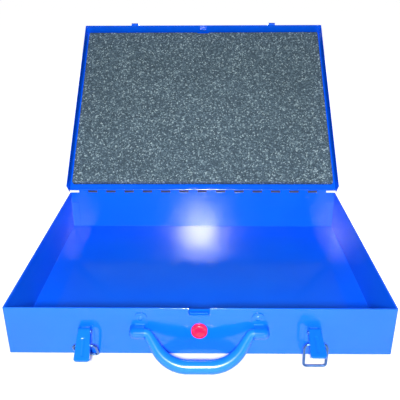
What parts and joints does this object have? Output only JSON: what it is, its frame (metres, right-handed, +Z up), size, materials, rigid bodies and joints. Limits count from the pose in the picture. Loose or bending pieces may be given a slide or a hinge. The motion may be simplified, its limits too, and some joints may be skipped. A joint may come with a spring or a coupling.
{
  "type": "steel storage case",
  "caption": "Flat folded-steel storage case, open, with a foam-lined lid on a piano hinge, two draw latches, a push-button catch and a folding handle.",
  "frame": {"origin": "centre of the underside of the base, on the table plane", "axes": "+X to the right seen from the handle side, +Y from the handle towards the hinge, +Z up"},
  "size_m": [0.44, 0.6173, 0.3052],
  "materials": {
    "blue_powder_coat": "smooth blue powder coat, semi-gloss",
    "blue_plastic": "moulded blue plastic grip, semi-gloss",
    "red_plastic": "glossy red plastic",
    "grey_foam": "open-cell recycled foam, grey with light flecks",
    "zinc_plated_steel": "zinc-plated steel wire and rivets",
    "bright_steel_pin": "drawn steel wire",
    "spring_steel": "spring steel wire"
  },
  "bodies": {
    "base": {"base_tray": "blue_powder_coat", "hinge_leaf_base": "blue_powder_coat", "hinge_pin": "bright_steel_pin", "catch_housing": "blue_powder_coat", "catch_spring": "spring_steel", "handle_saddle_left": "blue_powder_coat", "handle_saddle_right": "blue_powder_coat", "saddle_rivets": "blue_powder_coat", "latch_bracket_left": "blue_powder_coat", "latch_bracket_right": "blue_powder_coat", "latch_rivets": "blue_powder_coat", "lever_pin_left": "zinc_plated_steel", "lever_pin_right": "zinc_plated_steel"},
    "lid": {"lid_tray": "blue_powder_coat", "hinge_leaf_lid": "blue_powder_coat", "foam_mat": "grey_foam", "lid_catch": "blue_powder_coat", "strike_left": "blue_powder_coat", "strike_right": "blue_powder_coat"},
    "handle": {"handle": "blue_plastic"},
    "left_lever": {"latch_lever_left": "blue_powder_coat"},
    "left_bail": {"latch_bail_left": "zinc_plated_steel"},
    "right_lever": {"latch_lever_right": "blue_powder_coat"},
    "right_bail": {"latch_bail_right": "zinc_plated_steel"},
    "button": {"push_button": "red_plastic", "catch_plate": "blue_powder_coat"}
  },
  "joints": [
    {"name": "lid_hinge", "type": "hinge", "parent": "base", "child": "lid", "pos_m": [0, 0.16445, 0.0672], "axis": [1, 0, 0], "range_deg": [0, 138.5]},
    {"name": "handle_pivot", "type": "hinge", "parent": "base", "child": "handle", "pos_m": [0, -0.1716, 0.035], "axis": [-1, 0, 0], "range_deg": [-40, 128]},
    {"name": "left_lever_pivot", "type": "hinge", "parent": "base", "child": "left_lever", "pos_m": [-0.1274, -0.1708, 0.0361], "axis": [1, 0, 0], "range_deg": [0, 46]},
    {"name": "right_lever_pivot", "type": "hinge", "parent": "base", "child": "right_lever", "pos_m": [0.1274, -0.1708, 0.0361], "axis": [1, 0, 0], "range_deg": [0, 68.6]},
    {"name": "left_bail_pivot", "type": "hinge", "parent": "left_lever", "child": "left_bail", "pos_m": [-0.1274, -0.18202, 0.02555], "axis": [-1, 0, 0], "range_deg": [0, 260.03]},
    {"name": "right_bail_pivot", "type": "hinge", "parent": "right_lever", "child": "right_bail", "pos_m": [0.1274, -0.18521, 0.03067], "axis": [-1, 0, 0], "range_deg": [0, 250.02]},
    {"name": "button_slide", "type": "slide", "parent": "base", "child": "button", "axis": [0, 1, 0], "range_m": [0, 0.0025], "stiffness_N_per_m": 800, "springref_m": -0.0025, "deforming": ["catch_spring"]}
  ],
  "couplings": [
    {"joint": "left_bail_pivot", "follows": "left_lever_pivot", "ratio": 5.6528},
    {"joint": "right_bail_pivot", "follows": "right_lever_pivot", "ratio": 3.6446}
  ]
}
